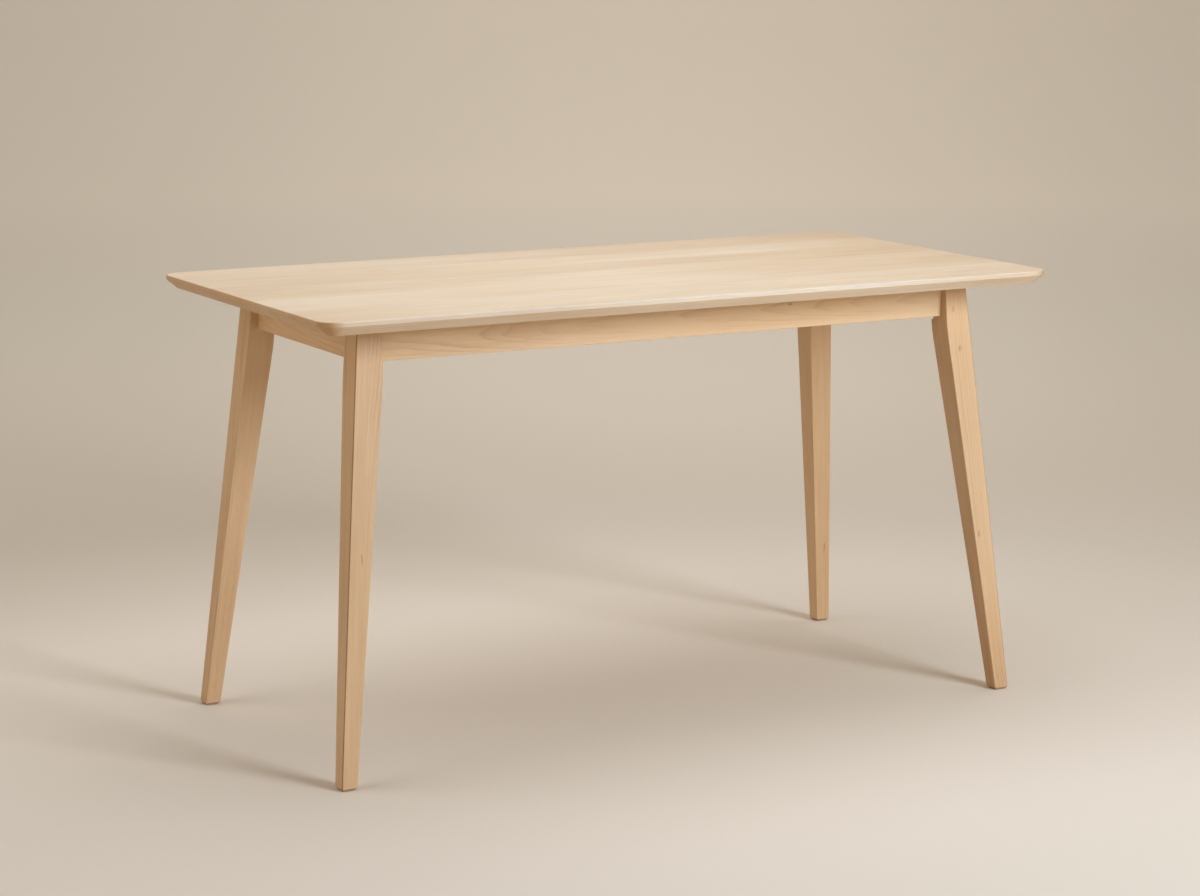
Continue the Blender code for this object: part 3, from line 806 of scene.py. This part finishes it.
def make_leg(number, corner, sign_x, sign_y):
    pith, tilt, tones, inner_painted_shade = LEGS[number]
    x_faces, y_faces, foot, top = leg_faces(corner)
    rings = []
    for step in range(FOOT_STEPS + 1):
        risen = math.sin(math.pi / 2 * step / FOOT_STEPS)
        rings.append((foot + FOOT_CHAMFER * risen, FOOT_CHAMFER * (1 - risen)))
    knee = [KNEE_HEIGHT + KNEE_BLEND * (2 * i / KNEE_STEPS - 1) for i in range(KNEE_STEPS + 1)]
    rings += [(height, 0.0) for height in (foot + FOOT_CHAMFER + SUPPORT, *knee, top)]

    def spans_at(height):
        return leg_span(x_faces, foot, height), leg_span(y_faces, foot, height)

    sections = [leg_ring(sign_x, sign_y, *spans_at(height), height, inset) for height, inset in rings]
    leg = object_from(f"leg_{corner}_fine", loft(sections))
    cutters = []
    for faces, along_x in ((x_faces, True), (y_faces, False)):
        cutters.append(make_mortise(sign_x, sign_y, faces[0], along_x))
    start, inward = diagonal_of(corner, sign_x, sign_y)
    inner_arris = Vector((sign_x * x_faces[0], sign_y * y_faces[0], start.z))
    wide, high = BOLT_FLAT_HALF_SIZES
    flat = block_between((-wide, wide), (-high, high), (0, BOLT_FLAT + PAST))
    cutters.append(aim(flat, inner_arris - inward * BOLT_FLAT, inward))
    cutters.append(drill(BOLT_RADIUS + GAP, -BOLT_DEPTH_IN_LEG - HOLE_SPARE, BLOCK_OUTER, start, inward))
    combine(leg, cutters)

    def worn_and_highlit(point):
        off_arris = 0.0
        for value, (inner, outer) in zip((abs(point.x), abs(point.y)), spans_at(point.z)):
            off_arris += min(abs(value - inner), abs(value - outer))
        at_foot = point.z < foot + FOOT_CHAMFER + TINY
        return 1.0 if at_foot or off_arris < LEG_EASE * 1.05 else 0.0

    def tone(point):
        (inner_x, outer_x), (_, outer_y) = spans_at(point.z)
        plain = curve(point.z, (foot, top), tones)
        if outer_x - abs(point.x) + outer_y - abs(point.y) < LEG_EASE * 0.95:
            return plain + ARRIS_TONE
        # painted shade on the face turned to the table's middle, painted light where the value is below 0
        return plain + inner_painted_shade if abs(point.x) - inner_x < LEG_EASE / 2 else plain

    (x_top, y_top), (x_foot, y_foot) = spans_at(top), spans_at(foot)
    lean_x = sign_x * (sum(x_top) - sum(x_foot)) / 2
    lean_y = sign_y * (sum(y_top) - sum(y_foot)) / 2
    grow(leg, 11 + number, (lean_x, lean_y, top - foot), (1, 0, 0), pith, tilt, tone, worn_and_highlit)
    place(leg, f"leg_{corner}", "leg_wood")


def make_mortise(sign_x, sign_y, face, along_x):
    """The space for one apron's stub tenon, open at the leg's inner face."""
    tenon_end = APRON_HIGH.x if along_x else END_HIGH.y
    outer = (FRONT_FACE_Y if along_x else END_FACE_X) - TENON_SHOULDER + GAP
    depth = (face - PAST, tenon_end + 2 * GAP)
    across = (outer - TENON_THICKNESS - 2 * GAP, outer)
    spans = (depth, across) if along_x else (across, depth)
    x_span, y_span = ([sign * value for value in span] for sign, span in zip((sign_x, sign_y), spans))
    return block_between(x_span, y_span, (APRON_BOTTOM + TENON_MARGIN - GAP, APRON_TOP - TENON_MARGIN + GAP))


def diagonal_of(corner, sign_x, sign_y):
    """The corner of the aprons' inner faces at the bolt's height, and the way in from it."""
    low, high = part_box(f"hanger_bolt_{corner}")
    start = Vector((sign_x * END_INNER_X, sign_y * FRONT_INNER_Y, (low.z + high.z) / 2))
    return start, Vector((-sign_x, -sign_y, 0)).normalized()


# ---- aprons and rail

# Each apron: side, turn in degrees, tones at its left end, middle and right end from outside, pith and tilt
APRONS = (
    ("front", 0, (0.16, 0.0, -0.04), (0.006, 0.050), (0.004, 0.030)),
    ("rear", 180, (0.10, 0.10, 0.10), (-0.010, 0.060), (0.006, -0.026)),
    ("left", -90, (0.16, 0.16, 0.16), (0.008, 0.075), (-0.010, 0.034)),
    ("right", 90, (0.12, 0.12, 0.12), (-0.012, 0.055), (0.008, 0.028)),
)


def make_apron(number, side, turn_deg, tones, pith, tilt):
    """An apron built along X with its outer face towards -Y, then turned about Z to its side."""
    is_long = side in ("front", "rear")
    shoulder = leg_faces("front_left")[0 if is_long else 1][0] - JOINT_LINE
    long_sizes = (FRONT_FACE_Y, FRONT_INNER_Y, APRON_HIGH.x)
    face, inner, tip = long_sizes if is_long else (END_FACE_X, END_INNER_X, END_HIGH.y)
    corners = ((-face, APRON_TOP), (-face, APRON_BOTTOM), (-inner, APRON_BOTTOM), (-inner, APRON_TOP))
    section = fillet(corners, (0, APRON_EASE, APRON_EASE, 0), steps=5, closed=True)
    supports = [Vector((-face, APRON_BOTTOM + SUPPORT)), Vector((-inner, APRON_BOTTOM + SUPPORT))]
    section = [section[0], supports[0], *section[1:-1], supports[1], section[-1]]
    stations = (-shoulder, 0.0, shoulder)
    apron = object_from(f"apron_{side}_fine", loft([[(x, y, z) for y, z in section] for x in stations]))
    tenon_y = (-face + TENON_SHOULDER, -face + TENON_SHOULDER + TENON_THICKNESS)
    tenon_z = (APRON_BOTTOM + TENON_MARGIN, APRON_TOP - TENON_MARGIN)
    roots = shoulder - TENON_ROOT
    tenons = [block_between((sign * roots, sign * tip), tenon_y, tenon_z) for sign in (-1, 1)]
    combine(apron, tenons, "UNION")
    apron.rotation_euler.z = math.radians(turn_deg)
    combine(apron, apron_cutters(side))
    turn = Matrix.Rotation(math.radians(turn_deg), 3, "Z")

    def worn_and_highlit(point):
        built = turn.inverted() @ point
        return 1.0 if built.z < APRON_BOTTOM + APRON_EASE + TINY and abs(built.x) < shoulder else 0.0

    def tone(point):
        return curve((turn.inverted() @ point).x, stations, tones)

    grow(apron, 21 + number, turn @ Vector((1, 0, 0)), UP, pith, tilt, tone, worn_and_highlit)
    place(apron, f"apron_{side}", "apron_wood")


def apron_cutters(side):
    """The rail's housing, the clips' slots and the screws' holes of one apron."""
    cutters = []
    if side in ("front", "rear"):
        low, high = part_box("cross_rail")
        sign = -1 if side == "front" else 1
        y_span = (sign * (FRONT_INNER_Y - PAST), sign * (FRONT_INNER_Y + HOUSING_DEPTH))
        slack = GAP / 3
        x_span = (low.x - slack, high.x + slack)
        cutters.append(block_between(x_span, y_span, (low.z - slack, UNDERSIDE + PAST)))
    for number in range(1, 9):
        foot, away, width = clip_place(number)
        if side_of(away) != side:
            continue
        across = UP.cross(away)
        half = width / 2 + SLOT_CLEARANCE
        reach = CLIP_TAB + SLOT_CLEARANCE
        one = foot - away * reach - across * half - UP * (CLIP_DROP + CLIP_STEEL + SLOT_CLEARANCE)
        other = foot + away * PAST + across * half - UP * (CLIP_DROP - SLOT_CLEARANCE)
        cutters.append(block_between(*zip(one, other)))
    for corner, sign_x, sign_y in CORNERS:
        for kind in ("long", "end"):
            seat, away = screw_place(kind, corner, sign_x, sign_y)
            if side_of(away) == side:
                cutters.append(drill(SCREW_HOLE_RADIUS, -BLOCK_SCREW_LENGTH - HOLE_SPARE, PAST, seat, away))
    return cutters


def side_of(away):
    """The side of the table whose apron a piece is fixed to, from the way that points off that apron."""
    if abs(away.y) > abs(away.x):
        return "front" if away.y > 0 else "rear"
    return "left" if away.x > 0 else "right"


def make_rail():
    low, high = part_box("cross_rail")
    rail = bevelled(object_from("cross_rail_fine", box(low, high)), BLOCK_EASE)
    grow(rail, 31, (0, 1, 0), UP, (0.012, 0.065), (0.008, 0.024), 0.16)
    place(rail, "cross_rail", "inner_wood")


def make_corner_block(number, corner, sign_x, sign_y):
    low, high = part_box(f"corner_block_{corner}")
    start, inward = diagonal_of(corner, sign_x, sign_y)
    across = Vector((-inward.y, inward.x, 0))
    slack = GAP * math.sqrt(2)
    outline = []
    for depth, side in ((BLOCK_OUTER, -1), (BLOCK_OUTER, 1), (BLOCK_INNER, 1), (BLOCK_INNER, -1)):
        point = start + inward * depth + across * side * (depth - slack)
        outline.append((point.x, point.y, low.z))
    block = object_from(f"corner_block_{corner}_fine", prism(outline, (0, 0, high.z - low.z)))
    bevelled(block, BLOCK_EASE)
    cutters = [drill(BOLT_HOLE_RADIUS, 0, BLOCK_INNER + PAST, start, inward)]
    for kind in ("long", "end"):
        seat, away = screw_place(kind, corner, sign_x, sign_y)
        cutters.append(drill(SCREW_HOLE_RADIUS, -BLOCK_SCREW_LENGTH, PAST, seat, away))
        cutters.append(drill(COUNTERBORE_RADIUS, -GAP, BLOCK_INNER - BLOCK_OUTER, seat, away))
    combine(block, cutters)
    grow(block, 41 + number, across, UP, (0.02 * sign_x, 0.055), (0.03, 0.02 * sign_y), 0.10 + 0.04 * number)
    place(block, f"corner_block_{corner}", "inner_wood")


# ---- hardware


def screw_place(kind, corner, sign_x, sign_y):
    """The bearing face of a block screw's head, and the way from its tip to its head."""
    low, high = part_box(f"block_screw_{kind}_{corner}")
    middle = (low + high) / 2
    away = Vector((0, -sign_y, 0)) if kind == "long" else Vector((-sign_x, 0, 0))
    half = (high - low).dot(Vector(map(abs, away))) / 2
    return middle + away * (half - SCREW_HEAD_HEIGHT), away


def make_screw_mesh(name, length):
    """A pan head screw with a cross recess, built about Z with the head's bearing face at 0."""
    rim, top = SCREW_HEAD_RADIUS, SCREW_HEAD_HEIGHT
    head = fillet(((rim, 0), (rim, top), (0.0004, top)), (0, 0.0015, 0), steps=8)
    profile = [
        (0.0002, -length),
        (SCREW_RADIUS, -length + SCREW_TIP),
        (SCREW_RADIUS, -0.0006),
        (SCREW_RADIUS + 0.0003, 0),
        *head,
    ]
    thread = (-length + 0.0004, -0.002, SCREW_PITCH, SCREW_THREAD)
    screw = object_from(name, threaded(profile, [thread]))
    bars = []
    for turn in (0, math.pi / 2):
        rings = []
        for x, y, height in RECESS:
            z = SCREW_HEAD_HEIGHT + height
            rings.append([(-x, -y, z), (x, -y, z), (x, y, z), (-x, y, z)])
        bar = object_from("recess", loft(rings))
        bar.rotation_euler.z = turn
        bars.append(bar)
    return mesh_of(combine(screw, bars))


def place_copy(mesh, node, point, direction):
    """A piece of hardware from a mesh built about Z."""
    piece = settle(aim(new_object(f"{node}_fine", mesh.copy()), point, direction))
    place(piece, node, "zinc_steel", 40)


def make_bolt_mesh(end):
    profile = (
        (0.0006, -BOLT_DEPTH_IN_LEG),
        (BOLT_RADIUS, -BOLT_DEPTH_IN_LEG + BOLT_TIP),
        (BOLT_RADIUS, end - 0.0008),
        (BOLT_RADIUS - 0.0008, end),
    )
    wood_thread = (-BOLT_DEPTH_IN_LEG + 0.001, BLOCK_OUTER - 0.002, BOLT_WOOD_PITCH, BOLT_WOOD_THREAD)
    machine_thread = (BLOCK_INNER - 0.012, end + BOLT_PITCH, BOLT_PITCH, BOLT_THREAD)
    return mesh_of(object_from("bolt", threaded(profile, [wood_thread, machine_thread])))


def make_washer_mesh():
    inner, outer = BOLT_RADIUS + GAP, WASHER_RADIUS
    corners = ((inner, 0), (outer, 0), (outer, WASHER_THICKNESS), (inner, WASHER_THICKNESS))
    section = fillet(corners, (0.0002, 0.0003, 0.0005, 0.0002), steps=3, closed=True)
    rings = [circle(radius, height, 48) for radius, height in section]
    return mesh_of(object_from("washer", loft(rings, closed=True)))


def make_nut_mesh():
    """A hexagon nut, chamfered on both sides and at both mouths of its bore."""
    corner_radius = NUT_ACROSS_FLATS / math.sqrt(3)
    flat_radius = NUT_ACROSS_FLATS / 2
    nut = object_from("nut", loft([circle(corner_radius, 0, 6), circle(corner_radius, NUT_THICKNESS, 6)]))
    chamfer = (corner_radius - flat_radius) * 0.6
    barrel = (
        (flat_radius, -0.0001),
        (corner_radius + 0.0001, chamfer),
        (corner_radius + 0.0001, NUT_THICKNESS - chamfer),
        (flat_radius, NUT_THICKNESS + 0.0001),
    )
    combine(nut, [object_from("barrel", turned(barrel))], "INTERSECT")
    bore = BOLT_RADIUS + GAP
    mouth = 0.0006
    wide, high = bore + mouth * 2, NUT_THICKNESS
    hourglass = ((wide, -mouth), (bore, mouth), (bore, high - mouth), (wide, high + mouth))
    return mesh_of(combine(nut, [object_from("bore", turned(hourglass))]))


def make_corner_hardware():
    washer_at = BLOCK_INNER + GAP
    nut_at = washer_at + WASHER_THICKNESS + GAP
    bolt = make_bolt_mesh(nut_at + NUT_THICKNESS + BOLT_STANDS_PROUD)
    washer = make_washer_mesh()
    nut = make_nut_mesh()
    screw = make_screw_mesh("block_screw", BLOCK_SCREW_LENGTH)
    for corner, sign_x, sign_y in CORNERS:
        start, inward = diagonal_of(corner, sign_x, sign_y)
        place_copy(bolt, f"hanger_bolt_{corner}", start, inward)
        place_copy(washer, f"washer_{corner}", start + inward * washer_at, inward)
        place_copy(nut, f"nut_{corner}", start + inward * nut_at, inward)
        for kind in ("long", "end"):
            place_copy(screw, f"block_screw_{kind}_{corner}", *screw_place(kind, corner, sign_x, sign_y))


def clip_place(number):
    """A clip's point of the apron's inner face right under the top, the way off the apron, and its width."""
    low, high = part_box(f"top_clip_{number}")
    size = high - low
    middle = (low + high) / 2
    if size.y > size.x:
        sign = 1 if middle.y > 0 else -1
        return Vector((middle.x, sign * FRONT_INNER_Y, UNDERSIDE)), Vector((0, -sign, 0)), size.x
    sign = 1 if middle.x > 0 else -1
    return Vector((sign * END_INNER_X, middle.y, UNDERSIDE)), Vector((-sign, 0, 0)), size.y


def make_clips():
    """Each clip is one bent strip: a tab in the apron's slot, a riser and a flange screwed up to the top."""
    screw = make_screw_mesh("clip_screw", CLIP_SCREW_LENGTH)
    bend_in = CLIP_RISER + CLIP_STEEL
    under = -GAP - CLIP_STEEL
    wide = CLIP_BEND + CLIP_STEEL
    corners = (
        (CLIP_REACH, -GAP),
        (CLIP_RISER, -GAP),
        (CLIP_RISER, -CLIP_DROP),
        (-CLIP_TAB, -CLIP_DROP),
        (-CLIP_TAB, -CLIP_DROP - CLIP_STEEL),
        (bend_in, -CLIP_DROP - CLIP_STEEL),
        (bend_in, under),
        (CLIP_REACH, under),
    )
    section = fillet(corners, (0, wide, CLIP_BEND, 0, 0, wide, CLIP_BEND, 0), steps=6, closed=True)
    for number in range(1, 9):
        foot, away, width = clip_place(number)
        across = UP.cross(away)
        side = foot - across * width / 2
        outline = [side + away * reach + UP * height for reach, height in section]
        clip = object_from(f"top_clip_{number}_fine", prism(outline, across * width))
        seat = foot + away * CLIP_HOLE + UP * (under - GAP)
        combine(clip, [drill(SCREW_HOLE_RADIUS, -PAST, PAST, seat, -UP)])
        bevelled(clip, 0.0002, 2, 50)
        place(clip, f"top_clip_{number}", "zinc_steel", 40)
        place_copy(screw, f"clip_screw_{number}", seat, -UP)


# ---- floor pads

PAD_RINGS = 9
PAD_SIDE_STEPS = 22
PAD_CORNER = 0.004
PAD_INSET = 0.0002
PAD_BULGE = 0.0005
FUZZ_DEPTH = 0.00018
FUZZ_PER_METRE = 1900


def make_pad(corner):
    """A felt pad: a rounded square with bulging, fuzzy sides."""
    low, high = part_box(f"floor_pad_{corner}")
    middle = (low + high) / 2
    half = (high.x - low.x) / 2
    rings = []
    for i in range(PAD_RINGS):
        share = i / (PAD_RINGS - 1)
        inset = PAD_INSET + PAD_BULGE * (2 * share - 1) ** 4
        height = low.z + (high.z - low.z) * share
        reach = half - inset
        corners = ((-reach, -reach), (reach, -reach), (reach, reach), (-reach, reach))
        outline = fillet(corners, (PAD_CORNER,) * 4, steps=8, closed=True)
        ring = []
        for j, (x, y) in enumerate(outline):
            after = outline[(j + 1) % len(outline)]
            pieces = PAD_SIDE_STEPS if (after - Vector((x, y))).length > PAD_CORNER else 1
            for step in range(pieces):
                spot = Vector((x, y)).lerp(after, step / pieces)
                fuzz = noise.noise(Vector((*spot, height)) * FUZZ_PER_METRE) * FUZZ_DEPTH
                spot *= 1 + min(0.0, fuzz) / half
                ring.append((middle.x + spot.x, middle.y + spot.y, height))
        rings.append(ring)
    pad = object_from(f"floor_pad_{corner}_fine", loft(rings))
    place(pad, f"floor_pad_{corner}", "felt", 60)


# ---- studio

FLOOR_RADIUS = 9.0
RINGS_APART = 0.15
COVE_RADIUS = 3.0
WALL_TOP = 9.0
COVE_STEPS = 16
STAGE_SIDES = 120
GLOW = 0.39
GLOW_FROM = 1.35  # metres from the middle, straight behind the table
GLOW_FROM_AT_SIDES = 1.85
GLOW_REACH = 1.6
GLOW_AT_SIDES = 0.66
GLOW_SPREAD = 0.175
GLOW_MIDDLE = 0.02  # aside of straight behind the table
GLOW_ON_WALL = 0.92
GLOW_COLOUR = (1.0, 0.90, 0.755, 1.0)
CAMERA_AT = (-2.448, -4.381, 1.381)
CAMERA_YAW = 29.03  # from +Y towards +X
CAMERA_PITCH = -10.59
CAMERA_ROLL = 0.085
CAMERA_LENS = 88.4

LIGHTS = {  # place, target, width, height, spread in degrees, watts, colour
    "overhead": ((0.2, 0.1, 3.0), (0, 0, 0), 2.6, 2.0, 180, 35.2, (0.97, 0.975, 1.0)),
    "key": ((1.4, -3.7, 2.15), (0, 0, 0.4), 1.3, 1.6, 96, 40.2, (0.79, 0.885, 0.99)),
    "left": ((-4.2, 0.3, 1.6), (0, 0, 0.4), 2.0, 2.0, 180, 12.2, (1.0, 0.78, 0.46)),
    "over_left": ((-2.2, 0.3, 3.0), (0, 0, 0.2), 2.0, 2.0, 180, 22.7, (0.94, 0.95, 0.98)),
    "over_right": ((2.2, 0.3, 3.0), (0, 0, 0.2), 2.0, 2.0, 180, 13, (1.0, 0.89, 0.75)),
    "over_back": ((0.8, 2.6, 3.0), (0, 0, 0.4), 2.6, 1.5, 180, 6.4, (1.0, 0.72, 0.3)),
}
WORLD_STRENGTH = 0.01


def glow_at(point):
    """How strongly the paper shines at a point, as if lamps out of view washed the far wall."""
    yaw = math.radians(CAMERA_YAW)
    sideways = point.x * math.cos(yaw) - point.y * math.sin(yaw)
    ahead = point.x * math.sin(yaw) + point.y * math.cos(yaw) + math.hypot(*CAMERA_AT[:2])
    aside = sideways / max(ahead, 1.0) - GLOW_MIDDLE
    middling = math.exp(-((aside / GLOW_SPREAD) ** 2))
    start = GLOW_FROM_AT_SIDES + (GLOW_FROM - GLOW_FROM_AT_SIDES) * middling
    rising = 1 - math.exp(-((max(math.hypot(point.x, point.y) - start, 0) / GLOW_REACH) ** 1.6))
    on_wall = curve(point.z, (0.0, COVE_RADIUS / 4), (1.0, GLOW_ON_WALL))
    return GLOW * rising * on_wall * (GLOW_AT_SIDES + (1 - GLOW_AT_SIDES) * middling)


def make_stage():
    """A round floor that sweeps up into a wall on every side."""
    rings = round(FLOOR_RADIUS / RINGS_APART)
    profile = [(0.001, 0.0)] + [(i * RINGS_APART, 0.0) for i in range(1, rings + 1)]
    for step in range(1, COVE_STEPS + 1):
        angle = math.pi / 2 * step / COVE_STEPS
        profile.append((FLOOR_RADIUS + COVE_RADIUS * math.sin(angle), COVE_RADIUS * (1 - math.cos(angle))))
    profile.append((FLOOR_RADIUS + COVE_RADIUS, WALL_TOP))
    bm = loft([circle(radius, height, STAGE_SIDES) for radius, height in profile])
    bm.faces.ensure_lookup_table()
    bm.faces.remove(bm.faces[-1])
    stage = object_from("studio_sweep", bm)
    stage.data.flip_normals()
    stage.data.shade_smooth()
    write(stage.data, "glow", [glow_at(vert.co) for vert in stage.data.vertices])
    net = Net("studio_paper")
    net.bump(net.noise(net.place(), (380.0, 380.0, 380.0), 3.0), 0.05, 0.0002)
    net.surface({"Base Color": rgb(226, 216, 203), "Roughness": 0.9, "Specular IOR Level": 0.15})
    net.surface({"Emission Strength": net.attribute("glow"), "Emission Color": GLOW_COLOUR})
    stage.data.materials.append(net.material)


def make_lights():
    for name, (at, target, width, height, spread_deg, watts, colour) in LIGHTS.items():
        data = bpy.data.lights.new(name, "AREA")
        data.shape = "RECTANGLE"
        data.size = width
        data.size_y = height
        data.spread = math.radians(spread_deg)
        data.energy = watts
        data.color = colour
        lamp = new_object(name, data)
        lamp.location = at
        lamp.rotation_euler = (Vector(target) - Vector(at)).to_track_quat("-Z", "Y").to_euler()
        lamp.visible_camera = False
    world = bpy.data.worlds.new("studio")
    bpy.context.scene.world = world
    world.use_nodes = True
    background = world.node_tree.nodes["Background"]
    background.inputs["Color"].default_value = (1.0, 1.0, 1.0, 1.0)
    background.inputs["Strength"].default_value = WORLD_STRENGTH


def make_camera():
    data = bpy.data.cameras.new("camera")
    data.lens = CAMERA_LENS
    camera = new_object("camera", data)
    yaw, pitch, roll = (math.radians(angle) for angle in (CAMERA_YAW, CAMERA_PITCH, CAMERA_ROLL))
    turns = ((-yaw, "Z"), (math.pi / 2 + pitch, "X"), (roll, "Z"))
    heading, nod, bank = (Matrix.Rotation(angle, 4, axis) for angle, axis in turns)
    camera.matrix_world = Matrix.Translation(CAMERA_AT) @ (heading @ nod @ bank)
    bpy.context.scene.camera = camera


make_camera()
make_staves()
for index, corner in enumerate(CORNERS):
    make_leg(index, *corner)
    make_corner_block(index, *corner)
    make_pad(corner[0])
for index, apron in enumerate(APRONS):
    make_apron(index, *apron)
make_rail()
make_corner_hardware()
make_clips()
make_stage()
make_lights()
bpy.context.scene.view_settings.view_transform = "Standard"
